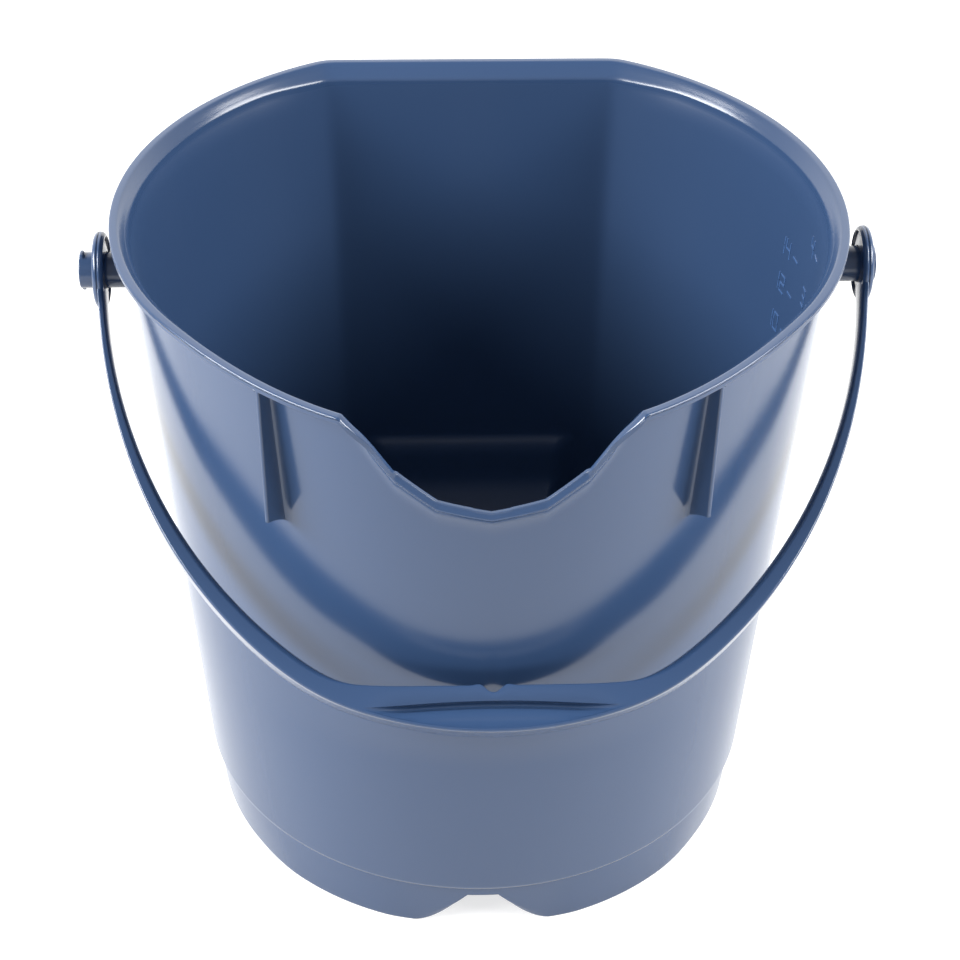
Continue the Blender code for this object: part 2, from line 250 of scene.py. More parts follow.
def makeBucketWall():
    # one skin made of rings, from under the floor out over the foot, step, ribs and rim to the
    # inner wall and floor; each ring is the plan's radius at a height, turned round the axis
    b = bucket
    angle = columnAngles()[None, :]
    sinA = np.sin(angle)
    cosA = np.cos(angle)
    front = cosA > 0.5
    back = cosA < -0.5
    sideways = np.abs((planRadius(angle, b["rimRadius"]) + b["notchReach"]) * sinA)
    fade = b["faceFade"]
    drop = np.where(front, np.interp(sideways, b["notchX"], b["notchDrop"], right=0.0), 0.0)
    top = b["height"] - drop
    cut = smooth(drop / b["notchFade"])                          # 1 along the notch
    leaning = np.where(front, smooth((b["lipHalf"] + 0.5 * fade - sideways) / fade), 0.0)
    middle = np.where(front, smooth((b["lipStand"][1] - sideways) / fade), 0.0)
    archT = (b["archHalf"] - np.abs(b["footRadius"] * sinA)) / (b["archHalf"] - b["archFlat"])
    arch = np.where(front, b["archHigh"] * np.clip(archT, 0.0, 1.0) ** b["archCurve"], 0.0)
    degrees = np.abs(np.degrees(angle))
    backward = smooth((degrees - b["cornerFade"][0]) / b["cornerFade"][1])
    thin = b["rimThin"] * (1.0 - backward) * (1.0 - cut)
    rowList = []
    insideList = []

    def addRows(z, radius, extra=0.0, inside=0.0, shrink=1.0, rib=False):
        # the radius laid on the plan, plus spout, flare and rib, pulled in at the recess
        z = z + 0.0 * angle
        wall = planRadius(angle, radius) + spoutPull(angle, z) + extra
        if rib:
            wall = wall + ribHeight(angle, z, wall)
        x = wall * sinA
        y = -wall * cosA
        scale = np.where(back, 1.0 - recessDepth(x, z) / np.maximum(y, 0.01), 1.0) * shrink
        rowList.append(np.stack([x * scale, y * scale + b["yCentre"], z], axis=-1))
        insideList.append(np.full(z.shape, inside))

    def flareAt(z):
        # grows as a square towards the notch's edge
        near = np.clip(1.0 - (top - z) / b["lipBand"], 0.0, 1.0)
        return b["lipFlare"] * near ** 2 * cut

    def column(values):
        # a list as rows, ready to be combined with the angles
        return np.asarray(values, dtype=float)[:, None]

    swell = b["footSwell"] * smooth((degrees - 12.0) / 9.0) * smooth((58.0 - degrees) / 16.0)
    # under the floor, with a fillet into the foot ring
    ring = b["footRadius"] - b["thick"]
    under = b["floorUnder"]
    fillet = b["underFillet"]
    addRows(column([under] * 5), ring - fillet, shrink=column([0.25, 0.5, 0.75, 0.9, 1.0]))
    turn = column(np.linspace(0.2, 1.0, 5) * 0.5 * math.pi)
    addRows(under - fillet * (1.0 - np.cos(turn)), ring - fillet + fillet * np.sin(turn))
    # the foot ring, rounded at both lower edges
    edge = b["footRound"]
    innerFoot = ring + b["footInset"]
    share = column(np.linspace(0.12, 1.0, 8))
    addRows(under - fillet + (arch + edge - under + fillet) * share, innerFoot)
    turn = column(np.linspace(0.25, 1.0, 4) * 0.5 * math.pi)
    addRows(arch + edge * (1.0 - np.sin(turn)), innerFoot + edge * (1.0 - np.cos(turn)))
    footR = b["footRadius"] + swell
    addRows(arch + edge * (1.0 - np.cos(turn)), footR - edge + edge * np.sin(turn))
    # skirt and step
    skirtTop = b["stepZ"] - b["stepBelow"]
    skirtR = b["wallLow"] - b["stepIn"]
    share = column(np.linspace(0.0, 1.0, 14)[1:])
    z = arch + edge + (skirtTop - arch - edge) * share
    addRows(z, footR + (skirtR - footR) * (z - edge) / (skirtTop - edge))
    turn = column(np.linspace(0.2, 1.0, 4) * 0.5 * math.pi)
    addRows(skirtTop + b["ledgeRound"] * np.sin(turn), skirtR + b["ledgeOut"] * (1.0 - np.cos(turn)))
    ledgeR = skirtR + b["ledgeOut"]
    turn = column(np.linspace(0.15, 1.0, 9) * 0.5 * math.pi)
    z = skirtTop + b["ledgeRound"] + b["stepRound"] * (1.0 - np.cos(turn))
    addRows(z, ledgeR + (wallRadius(z) - ledgeR) * np.sin(turn))
    # outer wall, with rows close together where the recess bends
    ribsFrom = 0.240
    ribsTo = 0.262
    fixed = np.concatenate([[0.0330, 0.0365, 0.042, 0.050, 0.0555, 0.057, 0.064, 0.072, 0.080],
                            [0.0835, 0.0855, 0.0875, 0.093, 0.100, 0.1060],
                            np.linspace(0.1083, 0.1117, 8), [0.1135, 0.117, 0.122],
                            np.linspace(0.130, ribsFrom, 17)])
    wallLow = column(fixed)
    addRows(wallLow, wallRadius(wallLow))
    # rows through the ribs' low ends, squeezed under the notch (27 degrees to each side)
    ribRows = np.concatenate([[0.2440, 0.2470], np.linspace(0.2485, 0.2580, 20), [0.2600]])
    flangeZ = top - b["rimFace"]
    lowest = flangeZ - b["lipBand"]
    squeeze = (np.minimum(lowest, ribsTo) - ribsFrom) / (ribsTo - ribsFrom)
    squeeze = np.where(degrees < 27.0, squeeze, 1.0)
    z = ribsFrom + (column(ribRows) - ribsFrom) * squeeze
    addRows(z, wallRadius(z), rib=True)
    zStart = ribsFrom + (ribRows[-1] - ribsFrom) * squeeze
    share = column([0.2, 0.4, 0.6, 0.8, 1.0])
    z = zStart + (lowest - zStart) * share
    addRows(z, wallRadius(z), rib=True)
    share = column([0.85, 0.7, 0.55, 0.4, 0.28, 0.18, 0.1, 0.04])
    z = flangeZ - b["lipBand"] * share
    addRows(z, wallRadius(z), flareAt(z), rib=True)
    # rim: flange, outer face, flat, slope
    over = (b["rimRadius"] - b["wallTop"]) * (1.0 - cut) + b["lipOver"] * cut
    lean = b["lipStand"][0] * middle - b["lipLean"] * leaning
    face = wallRadius(flangeZ) + flareAt(flangeZ)
    addRows(flangeZ - 0.0002, face + 0.0001, rib=True)
    addRows(flangeZ, face + over * 0.5, rib=True)
    turn = column(np.linspace(0.0, 1.0, 5) * 0.5 * math.pi)
    edge = b["rimEdge"] * (1.0 - cut) + b["lipRound"] * cut
    outer = face + over - edge + edge * np.sin(turn)
    addRows(flangeZ + edge * (1.0 - np.cos(turn)), outer, rib=True)
    part = column([0.24, 0.30, 0.50, 0.70, 0.86])
    addRows(flangeZ + part * (b["rimFace"] - 0.0004), face + over + lean * (part - 0.2) / 0.8)
    turn = column(np.linspace(0.0, 1.0, 6) * 0.5 * math.pi)
    rounding = b["rimRound"] * (1.0 - cut) + b["lipRound"] * cut
    outFace = face + over + lean
    addRows(top - rounding * (1.0 - np.sin(turn)), outFace - rounding * (1.0 - np.cos(turn)))
    flat = b["rimFlat"] * (1.0 - cut) + b["lipFlat"] * cut
    slope = b["rimSlope"] - b["rimFrontSlope"] * (1.0 - backward)
    slope = slope * (1.0 - cut) + b["lipSlope"] * cut
    innerFace = outFace - rounding - flat
    addRows(top + 0.0 * angle, innerFace + 0.0004)
    endFace = wallRadius(top - slope) + flareAt(top - slope) - b["thick"] + thin
    inward = column([0.05, 0.13, 0.24, 0.5, 0.76, 0.87, 0.95, 0.99, 1.0])
    down = column([0.012, 0.055, 0.14, 0.42, 0.70, 0.82, 0.93, 1.02, 1.12])
    addRows(top - slope * down, innerFace + (endFace - innerFace) * inward, inside=0.3)
    # inner wall
    band = b["lipBand"] - 0.002
    bandTop = top - slope * down[-1]
    share = column([0.25, 0.5, 0.75, 1.0])
    z = bandTop - band * share
    addRows(z, wallRadius(z) - b["thick"], flareAt(z) + thin * (1.0 - share) ** 2, inside=1.0)
    z = bandTop - band + (ribsFrom - bandTop + band) * share
    addRows(z, wallRadius(z) - b["thick"], inside=1.0)
    z = column([v for v in fixed[::-1] if 0.0485 < v < ribsFrom - 0.0005])
    addRows(z, wallRadius(z) - b["thick"], inside=1.0)
    # the fillet into the floor, and the floor
    turn = column(np.linspace(0.0, 1.0, 8) * 0.5 * math.pi)
    z = b["floorTop"] + b["floorFillet"] * (1.0 - np.sin(turn))
    floorEdge = wallRadius(b["floorTop"]) - b["thick"] + b["floorOut"]
    addRows(z, floorEdge - b["floorFillet"] * (1.0 - np.cos(turn)), inside=1.0)
    shrink = column([0.92, 0.75, 0.5, 0.25])
    addRows(column([b["floorTop"]] * 4), floorEdge - b["floorFillet"], inside=1.0, shrink=shrink)

    grid = np.concatenate(rowList)
    yMid = b["yCentre"]
    piece = gridMesh("bucketWall", grid, poles=[[0.0, yMid, under], [0.0, yMid, b["floorTop"]]])
    inside = np.concatenate(insideList).ravel()
    pointAttribute(piece, "insideShare", np.concatenate([inside, [0.0, 1.0]]))
    print("bucket wall:", grid.shape[0], "rows,", grid.shape[1], "columns")
    return piece


# the scale on the inner wall
marks = {
    "stand": 0.00028,            # how far the strokes stand off the inner wall
    "sunk": 0.0004,              # how far they reach into it
    "paintedHighlightGain": 2.1,               # painted highlight: the strokes' tops are this much paler than the wall, standing in for the light they catch
    "stroke": 0.00045,           # half width of a stroke
    "taper": 0.00012,            # the top is narrower by this on each side
    "digit": (0.0046, 0.0085),   # width and height of a digit
    "pitch": 1.45,               # digits follow each other at this many widths
    "gap": 0.0010,
    "tick": (0.0018, 0.0, 0.0078, 0.0),
    "columns": (                 # angle from the spout, then height and text of each mark
        (101.0, ((0.2800, "14"), (0.2610, "12"), (0.2400, "10"),
                 (0.2170, "8"), (0.1930, "6"), (0.1670, "4"))),
        (89.5, ((0.2990, "4"), (0.2720, "3"), (0.2200, "2"))),
    ),
}

# strokes of each digit: a top, b and c right, d bottom, e and f left, g across the middle
segments = {
    "0": "abcdef", "1": "bc", "2": "abged", "3": "abgcd", "4": "fgbc", "6": "afgedc", "8": "abcdefg",
}


def markBars():
    # for each stroke its column's angle, its height, and where it starts and ends across
    # and up from there
    m = marks
    wide, high = m["digit"]
    half = 0.5 * high
    ends = {
        "a": (0.0, high, wide, high), "b": (wide, high, wide, half), "c": (wide, half, wide, 0.0),
        "d": (0.0, 0.0, wide, 0.0), "e": (0.0, half, 0.0, 0.0), "f": (0.0, high, 0.0, half),
        "g": (0.0, half, wide, half),
    }
    bars = []
    for degrees, entries in m["columns"]:
        for z, text in entries:
            bars.append((degrees, z, *m["tick"]))
            for place, letter in enumerate(text):
                shift = -m["gap"] - (len(text) - place) * wide * m["pitch"]
                for name in segments[letter]:
                    x0, z0, x1, z1 = ends[name]
                    bars.append((degrees, z - half, x0 + shift, z0, x1 + shift, z1))
    return np.array(bars)


def makeMarks():
    # each stroke is a low bar with sloping ends that follows the inner wall: a point's
    # angle is the column's less across / radius, its radius the wall's less the stand-off
    m = marks
    b = bucket
    bars = markBars()
    start = bars[:, None, 2:4]
    end = bars[:, None, 4:6]
    along = (end - start) / np.linalg.norm(end - start, axis=-1, keepdims=True)
    side = np.stack([-along[..., 1], along[..., 0]], axis=-1)
    lengthways = np.array([-1.0, 1.0, 1.0, -1.0])[:, None]
    sideways = np.array([-1.0, -1.0, 1.0, 1.0])[:, None]
    corner = np.where(lengthways > 0.0, end, start)              # strokes x 4 x 2
    push = along * lengthways + side * sideways
    half = m["stroke"] - np.array([0.0, m["taper"]])             # sunk ring, then top ring
    spot = corner[:, None] + push[:, None] * half[:, None, None]
    height = bars[:, 1, None, None] + spot[..., 1]
    stand = np.array([-m["sunk"], m["stand"]])[:, None]
    radius = wallRadius(height) - b["thick"] - stand
    angle = np.radians(bars[:, 0, None, None]) - spot[..., 0] / radius
    verts = np.stack([radius * np.sin(angle), b["yCentre"] - radius * np.cos(angle), height], axis=-1)
    box = np.array([(3, 2, 1, 0), (4, 5, 6, 7), (0, 1, 5, 4), (1, 2, 6, 5), (2, 3, 7, 6), (3, 0, 4, 7)])
    faces = (8 * np.arange(len(bars))[:, None, None] + box).reshape(-1, 4)
    mesh = bpy.data.meshes.new("levelMarks")
    mesh.from_pydata(verts.reshape(-1, 3).tolist(), [], faces.tolist())
    piece = bpy.data.objects.new("levelMarks", mesh)
    bpy.context.scene.collection.objects.link(piece)
    mergeDoubles(piece)
    print("level marks:", len(bars), "strokes")
    return piece


# the studs that the bail turns on
stud = {
    "height": 0.2927,
    "radius": 0.0082,
    "endX": 0.1812,
    "startX": 0.1548,
    "edge": 0.0006,
    "lugLong": 0.0016,           # the small retaining lugs: length, height, half width
    "lugOut": 0.0011,
    "lugHalf": 0.0026,
    "lugSet": 0.0004,            # back from the stud's end
}


def makeStud(side, word):
    # a rod turned about x; close to its end two lugs stand out at the top and bottom,
    # where the radius gains the lug's height within the lug's width
    s = stud
    turn = np.linspace(0.0, 2.0 * math.pi, 97)[:-1][None, :]
    lugEnd = s["endX"] - s["lugSet"]
    lugStart = lugEnd - s["lugLong"]
    x = np.concatenate([
        [s["startX"], 0.160, 0.166, 0.172, 0.177],
        [lugStart - 0.00035, lugStart, lugStart + 0.0003, lugEnd - 0.0003, lugEnd],
        s["endX"] - s["edge"] * np.array([0.55, 0.3, 0.12, 0.0]),
    ])
    radius = np.full(len(x), s["radius"])
    radius[-4:] -= s["edge"] * np.array([0.05, 0.2, 0.45, 1.0])  # the end's rounded edge
    lug = np.zeros(len(x))
    lug[6:10] = [0.75, 1.0, 1.0, 0.7]
    across = s["radius"] * np.cos(turn)
    window = smooth((s["lugHalf"] + 0.0003 - np.abs(across)) / 0.0006)
    rad = radius[:, None] + lug[:, None] * s["lugOut"] * window
    xs = np.concatenate([x, [s["endX"], s["endX"]]])[:, None] + 0.0 * turn
    rad = np.concatenate([rad, rad[-1:] * np.array([[0.7], [0.35]])])
    y = rad * np.cos(turn) + bucket["yCentre"]
    z = rad * np.sin(turn) + s["height"]
    poles = [[side * end, bucket["yCentre"], s["height"]] for end in (s["startX"], s["endX"])]
    return gridMesh("pivotStud" + word, np.stack([side * xs, y, z], axis=-1), poles=poles, flip=side < 0)


# sizes of the bail, measured in its own plane from the hinge line
bail = {
    "restTilt": 53.5,            # degrees from hanging straight down to leaning on the front
    "sidePlay": 0.0022,          # slid along the studs towards +x
    "top": 0.0105,               # the outlines' centre above the hinge line
    "start": 0.0130,             # the arms start this far below the hinge, inside the eyes
    "outer": (0.1751, 0.2268),   # half width and drop of the outline
    "inner": (0.1743, 0.2197),
    "curve": (0.949, 1.017),     # powers of the two super-ellipses
    "shoulder": ((0.0020, 0.078, 0.030), (0.0014, 0.070, 0.028)),  # height, place and width
    "armRoot": 0.0034,           # the arms are this much deeper at the eyes, and how it fades
    "armFade": 0.070,
    "innerRound": 0.0036,        # how far the arms' rounded inner side bulges
    "gripInner": 0.1961,         # the straight inner side of the grip
    "gripSoft": 420.0,           # higher makes its ends sharper
    "gripFade": (0.110, 0.070),  # half width where the grip begins, and the length of the change
    "boxFade": (0.085, 0.030),
    "wideArm": 0.0172,
    "wideGrip": 0.0140,
    "rootSwell": (0.0042, 0.017),
    "outerRound": 0.0012,        # rounding of the outer edges and of the grip's inner edges
    "boxRound": 0.0010,
    "hookDeep": 0.0030,          # the small notch to hang it by, and the humps beside it
    "hookHalf": 0.0056,
    "hookHump": (0.0006, 0.0010, 0.0018),
    "scoopHalf": 0.0575,
    "scoopFade": 0.022,
    "scoopDeep": 0.0054,
    "scoopStart": 0.0068,        # from the grip's inner edge down to the scoop
    "scoopBow": (0.0034, 0.055),
    "scoopShape": (              # distance past the scoop's upper edge, and share of its depth
        (-0.0001, 0.0), (0.00002, 0.05), (0.0001, 0.40), (0.0003, 0.85), (0.0008, 1.0), (0.0019, 1.0),
        (0.0026, 0.62), (0.0036, 0.36), (0.0052, 0.22), (0.0080, 0.12), (0.0120, 0.04), (0.0170, 0.0),
    ),
    "eyeInner": 0.1714,
    "eyeOuter": 0.1765,
    "eyeRadius": 0.0175,
    "eyeHole": 0.00845,
    "eyeEdge": 0.0023,
    "eyeHoleEdge": 0.0005,
}


def placeBail(points):
    # from the bail's own plane to the frame: v runs from the hinge to the grip, w stands
    # out of the bow's front face
    tilt = math.radians(bail["restTilt"])
    u, v, w = points[..., 0], points[..., 1], points[..., 2]
    y = bucket["yCentre"] - v * math.sin(tilt) - w * math.cos(tilt)
    z = stud["height"] - v * math.cos(tilt) + w * math.sin(tilt)
    return np.stack([u + bail["sidePlay"], y, z], axis=-1)


def bowOutlines(turn):
    # two super-ellipses with a small swelling at the ends of the grip, the inner one cut
    # off straight along the grip, and how far the hanging notch goes in at each station
    b = bail
    cosT = np.cos(turn)
    sinT = np.maximum(np.sin(turn), 0.0)
    sign = np.sign(cosT)
    outX = b["outer"][0] * sign * np.abs(cosT) ** b["curve"][0]
    outV = b["outer"][1] * sinT ** b["curve"][0] - b["top"]
    (outHigh, outAt, outWide), (inHigh, inAt, inWide) = b["shoulder"]
    outV = outV + outHigh * np.exp(-(((np.abs(outX) - outAt) / outWide) ** 2))
    inX = b["inner"][0] * sign * np.abs(cosT) ** b["curve"][1]
    inV = b["inner"][1] * sinT ** b["curve"][1] - b["top"]
    inX = inX - sign * b["armRoot"] * np.exp(-(inV + b["top"]) / b["armFade"])
    inV = inV + inHigh * np.exp(-(((np.abs(inX) - inAt) / inWide) ** 2))
    soft = b["gripSoft"]
    inV = -np.log(np.exp(-soft * inV) + np.exp(-soft * b["gripInner"])) / soft
    hook = np.clip(1.0 - np.abs(inX) / b["hookHalf"], 0.0, 1.0)
    humpHigh, humpAt, humpWide = b["hookHump"]
    hump = np.exp(-(((np.abs(inX) - b["hookHalf"] - humpAt) / humpWide) ** 2))
    return outX, outV, inX, inV, b["hookDeep"] * smooth(hook * 1.15) - humpHigh * hump


def makeBow():
    # a bar carried along the two outlines; the arms' inner side is half an ellipse and
    # turns into a rounded box along the grip, whose front face has a deep finger groove
    b = bail
    start = math.asin(((b["start"] + b["top"]) / b["outer"][1]) ** (1.0 / b["curve"][0]))
    ends = np.linspace(0.0, 1.0, 301)
    ease = ends + 0.10 * np.sin(2.0 * math.pi * ends) / (2.0 * math.pi)
    turn = start + (math.pi - 2.0 * start) * ease
    outX, outV, inX, inV, notch = bowOutlines(turn)
    deep = np.hypot(outX - inX, outV - inV)                      # bar in the bow's plane
    grip = smooth((b["gripFade"][0] - np.abs(outX)) / b["gripFade"][1])
    boxy = smooth((b["boxFade"][0] - np.abs(outX)) / b["boxFade"][1])
    half = 0.5 * (b["wideArm"] + (b["wideGrip"] - b["wideArm"]) * grip)
    half = half + b["rootSwell"][0] * np.exp(-((outV / b["rootSwell"][1]) ** 4))
    edgeOut = np.minimum(b["outerRound"], 0.40 * deep)
    edgeBox = np.minimum(b["boxRound"], 0.45 * deep)
    edgeArm = np.minimum(b["innerRound"], 0.55 * deep)
    edgeIn = edgeArm + (edgeBox - edgeArm) * boxy
    barEnd = b["scoopStart"] + b["scoopBow"][0] * (outX / b["scoopBow"][1]) ** 2
    window = smooth((b["scoopHalf"] - np.abs(outX)) / b["scoopFade"])
    scoop = b["scoopDeep"] * window
    rest = deep - edgeOut
    quarter = np.linspace(0.0, 1.0, 6) * 0.5 * math.pi
    rings = []

    def station(along, w):
        # along: distance from the inner outline towards the outer one; the hanging notch
        # pushes the points down, less and less towards the groove
        s = along / deep
        push = notch * np.clip(1.0 - along / b["scoopStart"], 0.0, 1.0)
        rings.append(np.stack([inX + (outX - inX) * s, inV + push + (outV - inV) * s, w], axis=-1))

    def innerSide(share):
        # share 0 is the front end of the inner side, 1 its back end
        around = share * math.pi
        arc = math.cos(around)
        boxAlong = edgeBox * (1.0 - min(1.0, math.sin(around) * 2.2)) ** 2
        along = edgeArm * (1.0 - math.sin(around)) * (1.0 - boxy) + boxAlong * boxy
        return along, half * (arc + (math.copysign(abs(arc) ** 0.45, arc) - arc) * boxy)

    sideShares = (0.0, 0.04, 0.09, 0.16, 0.25, 0.37)
    for share in (0.5, *sideShares[::-1]):
        station(*innerSide(share))
    for step, depth in b["scoopShape"]:
        nearest = edgeIn + 0.0001 + 0.01 * step
        furthest = rest - 0.0003 + 0.01 * step
        station(np.clip(barEnd + step, nearest, furthest), half - scoop * depth)
    for q in quarter:
        station(rest + edgeOut * np.sin(q), half - edgeOut * (1.0 - np.cos(q)))
    for share in (0.3, 0.7):
        station(deep, (half - edgeOut) * (1.0 - 2.0 * share))
    for q in quarter:
        station(rest + edgeOut * np.cos(q), -(half - edgeOut) - edgeOut * np.sin(q))
    for share in sideShares:
        station(*innerSide(1.0 - share))
    grid = placeBail(np.stack(rings, axis=1))
    piece = gridMesh("bailBow", grid, caps=True, flip=True)
    print("bail bow:", grid.shape[0], "stations,", grid.shape[1], "points around")
    return piece


def makeEye(side, word):
    # a flat ring: a closed profile of width and radius, its four edges quarter rounds,
    # turned about the hinge
    b = bail
    r = b["eyeEdge"]
    small = b["eyeHoleEdge"]
    x0, x1 = b["eyeInner"], b["eyeOuter"]
    outerR = b["eyeRadius"]
    innerR = b["eyeHole"]
    middle = [0.5 * (x0 + x1)]
    quarter = np.linspace(0.0, 1.0, 6) * 0.5 * math.pi
    closing = 1.0 - np.sin(quarter)
    opening = closing[::-1]
    leaving = 1.0 - np.cos(quarter)
    profX = np.concatenate([x0 + r * closing, middle, x1 - r * opening,
                            x1 - small * leaving, middle, x0 + small * leaving[::-1]])
    profR = np.concatenate([outerR - r * opening, [outerR], outerR - r * closing,
                            innerR + small * closing, [innerR], innerR + small * opening])
    turn = np.linspace(0.0, 2.0 * math.pi, 129)[:-1]
    u = side * profX[None, :] + 0.0 * turn[:, None]
    v = profR[None, :] * np.cos(turn)[:, None]
    w = profR[None, :] * np.sin(turn)[:, None]
    grid = placeBail(np.stack([u, v, w], axis=-1))
    grid = np.concatenate([grid, grid[:1]])
    piece = gridMesh("bailEye" + word, grid, flip=side > 0)
    mergeDoubles(piece)
    return piece


def mergeDoubles(piece):
    # points in the same place become one, and all faces are turned outwards
    work = bmesh.new()
    work.from_mesh(piece.data)
    bmesh.ops.remove_doubles(work, verts=work.verts, dist=0.000002)
    bmesh.ops.recalc_face_normals(work, faces=work.faces)
    work.to_mesh(piece.data)
    work.free()


# the one plastic that everything is moulded in
plastic = {
    "blue": (0.0200, 0.0430, 0.0990),
    "paleBlue": (0.0240, 0.0490, 0.1090),
    "driftSize": 9.0,            # patches of the two blues, per metre
    "roughness": 0.17,
    "roughInside": 0.33,
    "streakSize": (22.0, 22.0, 5.0),
    "streakRough": (-0.020, 0.030),  # added to the roughness, from the smoothest to the dullest streak
    "grainSize": 2600.0,
    "grainHeight": 0.00004,
    "grainStrength": 0.25,
    "waveHeight": 0.0008,
    "waveStrength": 0.10,
    "ior": 1.5,
}


def makePlastic(name, paintedHighlightGain=1.0):
    # moulded blue plastic: colour = a slow mix of two blues, roughness = a value for the
    # outside or inside + streaks, height = fine grain + a slow waviness
    made = bpy.data.materials.new(name)
    made.use_nodes = True
    tree = made.node_tree
    shader = tree.nodes["Principled BSDF"]
    link = tree.links.new

    def node(kind, **settings):
        # a new node with its settings
        n = tree.nodes.new(kind)
        for key, value in settings.items():
            setattr(n, key, value)
        return n

    place = node("ShaderNodeTexCoord")
    drift = node("ShaderNodeTexNoise")
    drift.inputs["Scale"].default_value = plastic["driftSize"]
    drift.inputs["Detail"].default_value = 1.0
    link(place.outputs["Object"], drift.inputs["Vector"])
    base = node("ShaderNodeMix", data_type="RGBA")
    # the two blues are scaled by the given factor; above 1 (the level marks) it paints a highlight into
    # the colour
    base.inputs["A"].default_value = (*(paintedHighlightGain * v for v in plastic["blue"]), 1.0)
    base.inputs["B"].default_value = (*(paintedHighlightGain * v for v in plastic["paleBlue"]), 1.0)
    link(drift.outputs["Fac"], base.inputs["Factor"])

    stretch = node("ShaderNodeMapping")
    stretch.inputs["Scale"].default_value = plastic["streakSize"]
    link(place.outputs["Object"], stretch.inputs["Vector"])
    streaks = node("ShaderNodeTexNoise")
    streaks.inputs["Scale"].default_value = 1.0
    streaks.inputs["Detail"].default_value = 4.0
    link(stretch.outputs["Vector"], streaks.inputs["Vector"])

    grain = node("ShaderNodeTexNoise")
    grain.inputs["Scale"].default_value = plastic["grainSize"]
    grain.inputs["Detail"].default_value = 2.0
    link(place.outputs["Object"], grain.inputs["Vector"])

    insideIn = node("ShaderNodeAttribute", attribute_name="insideShare")
    link(base.outputs["Result"], shader.inputs["Base Color"])

    roughInside = node("ShaderNodeMapRange")
    roughInside.inputs["To Min"].default_value = plastic["roughness"]
    roughInside.inputs["To Max"].default_value = plastic["roughInside"]
    link(insideIn.outputs["Fac"], roughInside.inputs["Value"])
    roughStreak = node("ShaderNodeMapRange")
    roughStreak.inputs["From Min"].default_value = 0.3
    roughStreak.inputs["From Max"].default_value = 0.7
    roughStreak.inputs["To Min"].default_value = plastic["streakRough"][0]
    roughStreak.inputs["To Max"].default_value = plastic["streakRough"][1]
    link(streaks.outputs["Fac"], roughStreak.inputs["Value"])
    roughSum = node("ShaderNodeMath", operation="ADD")
    link(roughInside.outputs["Result"], roughSum.inputs[0])
    link(roughStreak.outputs["Result"], roughSum.inputs[1])
    link(roughSum.outputs["Value"], shader.inputs["Roughness"])

    grainBump = node("ShaderNodeBump")
    grainBump.inputs["Strength"].default_value = plastic["grainStrength"]
    grainBump.inputs["Distance"].default_value = plastic["grainHeight"]
    link(grain.outputs["Fac"], grainBump.inputs["Height"])
    waveBump = node("ShaderNodeBump")
    waveBump.inputs["Strength"].default_value = plastic["waveStrength"]
    waveBump.inputs["Distance"].default_value = plastic["waveHeight"]
    link(drift.outputs["Fac"], waveBump.inputs["Height"])
    link(waveBump.outputs["Normal"], grainBump.inputs["Normal"])
    link(grainBump.outputs["Normal"], shader.inputs["Normal"])
    shader.inputs["IOR"].default_value = plastic["ior"]
    return made


# floor, light and camera
studio = {
    "floorSize": 7.0,
    "floorGrey": 0.42,
    "floorGlow": 0.72,           # a white sweep lit from below as well, so it has no shadow
    "surround": 0.55,            # the room's strength all round, at the back and overhead
    "surroundBack": 2.0,
    "surroundTop": 0.34,
    "backRamp": (0.25, 0.70),    # where those two begin and end, as the direction's y and z
    "topRamp": (0.80, 0.96),
    "leftLight": 112.0,
    "rightLight": 84.0,
    "sideLight": (76.0, 31.0, 2.2, 0.17),  # azimuth, elevation, distance and height aimed at
    "sideSize": (1.7, 0.8),
    "lens": 84.365,
    "distance": 1.1,
    "elevation": 36.505,
    "azimuth": -2.159,
    "roll": 0.626,
    "target": (0.00150, 0.01376, 0.17188),
}


def makeFloor():
    # one square at height 0, pale grey and glowing a little
    half = 0.5 * studio["floorSize"]
    grey = studio["floorGrey"]
    corners = [(-half, -half, 0.0), (half, -half, 0.0), (half, half, 0.0), (-half, half, 0.0)]
    mesh = bpy.data.meshes.new("studioFloor")
    mesh.from_pydata(corners, [], [(0, 1, 2, 3)])
    floor = bpy.data.objects.new("studioFloor", mesh)
    bpy.context.scene.collection.objects.link(floor)
    made = bpy.data.materials.new("paleFloor")
    made.use_nodes = True
    shader = made.node_tree.nodes["Principled BSDF"]
    shader.inputs["Base Color"].default_value = (grey, grey, grey, 1.0)
    shader.inputs["Roughness"].default_value = 0.9
    shader.inputs["Specular IOR Level"].default_value = 0.0
    shader.inputs["Emission Color"].default_value = (1.0, 1.0, 1.0, 1.0)
    shader.inputs["Emission Strength"].default_value = studio["floorGlow"]
    mesh.materials.append(made)


def direction(azimuth, elevation):
    # a unit vector; azimuth turns from the spout's side towards +x, elevation rises from level
    a = math.radians(azimuth)
    e = math.radians(elevation)
    return Vector((math.sin(a) * math.cos(e), -math.cos(a) * math.cos(e), math.sin(e)))


def sideLight(name, side, power):
    # a soft box beside the bucket, facing a point on its axis
    azimuth, elevation, distance, height = studio["sideLight"]
    away = direction(side * azimuth, elevation)
    lamp = bpy.data.lights.new(name, "AREA")
    lamp.shape = "RECTANGLE"
    lamp.size, lamp.size_y = studio["sideSize"]
    lamp.energy = power
    holder = bpy.data.objects.new(name, lamp)
    holder.location = Vector((0.0, 0.0, height)) + away * distance
    holder.rotation_euler = (-away).to_track_quat("-Z", "Y").to_euler()
    bpy.context.scene.collection.objects.link(holder)


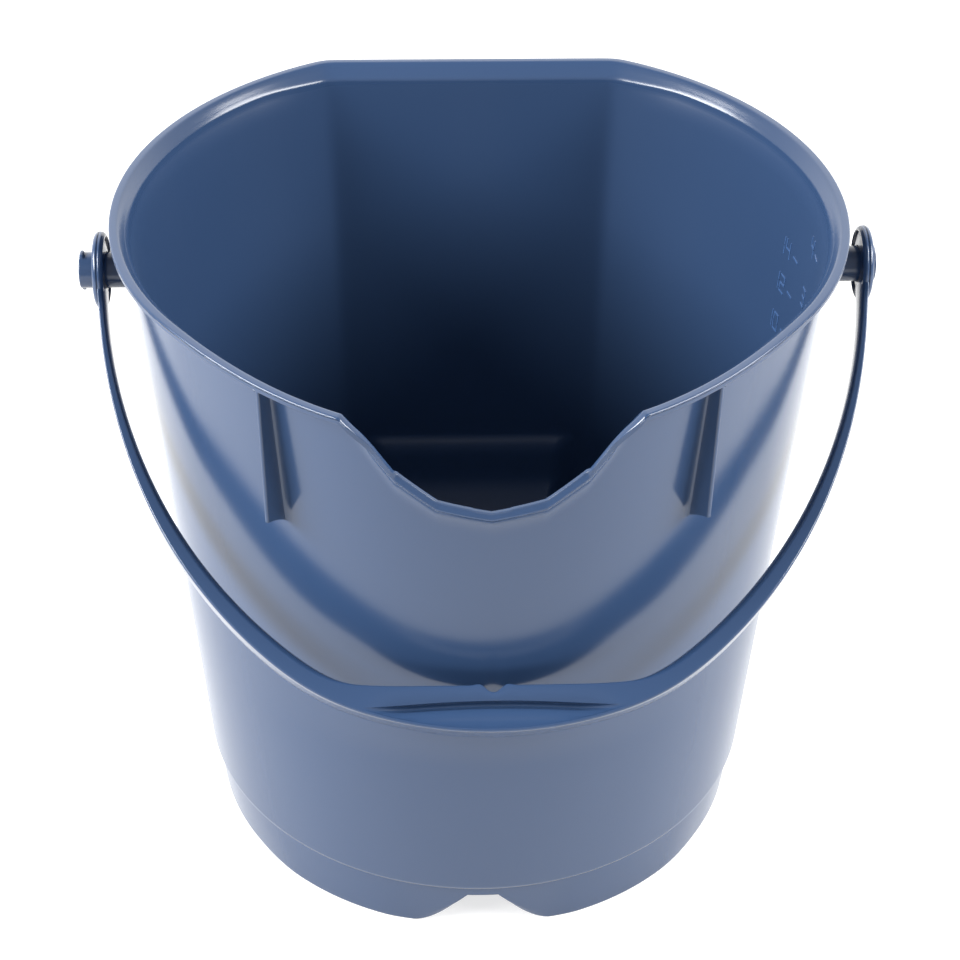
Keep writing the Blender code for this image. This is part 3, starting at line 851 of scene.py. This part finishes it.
def makeSurround():
    # even light all round, brighter behind the bucket: strength rises with the
    # direction's y and falls towards straight up
    world = bpy.data.worlds.new("whiteRoom")
    world.use_nodes = True
    tree = world.node_tree
    place = tree.nodes.new("ShaderNodeTexCoord")
    split = tree.nodes.new("ShaderNodeSeparateXYZ")
    tree.links.new(place.outputs["Generated"], split.inputs["Vector"])
    strength = tree.nodes.new("ShaderNodeMapRange")
    strength.inputs["From Min"].default_value = studio["backRamp"][0]
    strength.inputs["From Max"].default_value = studio["backRamp"][1]
    strength.inputs["To Min"].default_value = studio["surround"]
    strength.inputs["To Max"].default_value = studio["surroundBack"]
    tree.links.new(split.outputs["Y"], strength.inputs["Value"])
    upper = tree.nodes.new("ShaderNodeMapRange")
    upper.inputs["From Min"].default_value = studio["topRamp"][0]
    upper.inputs["From Max"].default_value = studio["topRamp"][1]
    upper.inputs["To Min"].default_value = 1.0
    upper.inputs["To Max"].default_value = studio["surroundTop"] / studio["surround"]
    tree.links.new(split.outputs["Z"], upper.inputs["Value"])
    total = tree.nodes.new("ShaderNodeMath")
    total.operation = "MULTIPLY"
    tree.links.new(strength.outputs["Result"], total.inputs[0])
    tree.links.new(upper.outputs["Result"], total.inputs[1])
    back = tree.nodes["Background"]
    back.inputs["Color"].default_value = (1.0, 1.0, 1.0, 1.0)
    tree.links.new(total.outputs["Value"], back.inputs["Strength"])
    bpy.context.scene.world = world


def makeCamera():
    # placed on a sphere round the target, then rolled about its own axis
    s = studio
    a = math.radians(s["azimuth"])
    back = direction(s["azimuth"], s["elevation"])
    across = Vector((math.cos(a), math.sin(a), 0.0))
    up = back.cross(across)
    r = math.radians(s["roll"])
    x = across * math.cos(r) + up * math.sin(r)
    y = up * math.cos(r) - across * math.sin(r)
    data = bpy.data.cameras.new("studioCamera")
    data.lens = s["lens"]
    data.sensor_width = 36.0
    data.clip_start = 0.05
    data.clip_end = 50.0
    holder = bpy.data.objects.new("studioCamera", data)
    spot = Vector(s["target"]) + back * s["distance"]
    turn = Matrix((x, y, back)).transposed().to_4x4()
    holder.matrix_world = Matrix.Translation(spot) @ turn
    bpy.context.scene.collection.objects.link(holder)
    bpy.context.scene.camera = holder


# every piece is made, given its plastic, and rides on its body
wallPiece = makeBucketWall()
marksPiece = makeMarks()
studPieces = [makeStud(-1, "Left"), makeStud(1, "Right")]
bowPiece = makeBow()
eyePieces = [makeEye(-1, "Left"), makeEye(1, "Right")]
print("studs and eyes:", len(studPieces), "and", len(eyePieces))

bucketPlastic = makePlastic("bucketPlastic")
bailPlastic = makePlastic("bailPlastic")
# the level marks get paler blues: a painted highlight for the light caught on the raised strokes
markPlasticPaintedHighlight = makePlastic("markPlasticPaintedHighlight", marks["paintedHighlightGain"])
marksPiece.data.materials.append(markPlasticPaintedHighlight)
for piece in [wallPiece, *studPieces]:
    piece.data.materials.append(bucketPlastic)
for piece in [wallPiece, marksPiece, *studPieces]:
    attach(piece, "bucket")
for piece in [bowPiece, *eyePieces]:
    piece.data.materials.append(bailPlastic)
    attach(piece, "bail")
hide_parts("bucket_shell")
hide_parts("bail_handle")
print("plastics given, pieces riding")

makeFloor()
makeSurround()
makeCamera()
sideLight("sideLightLeft", -1, studio["leftLight"])
sideLight("sideLightRight", 1, studio["rightLight"])
bpy.context.scene.view_settings.view_transform = "Standard"
print("stage ready")
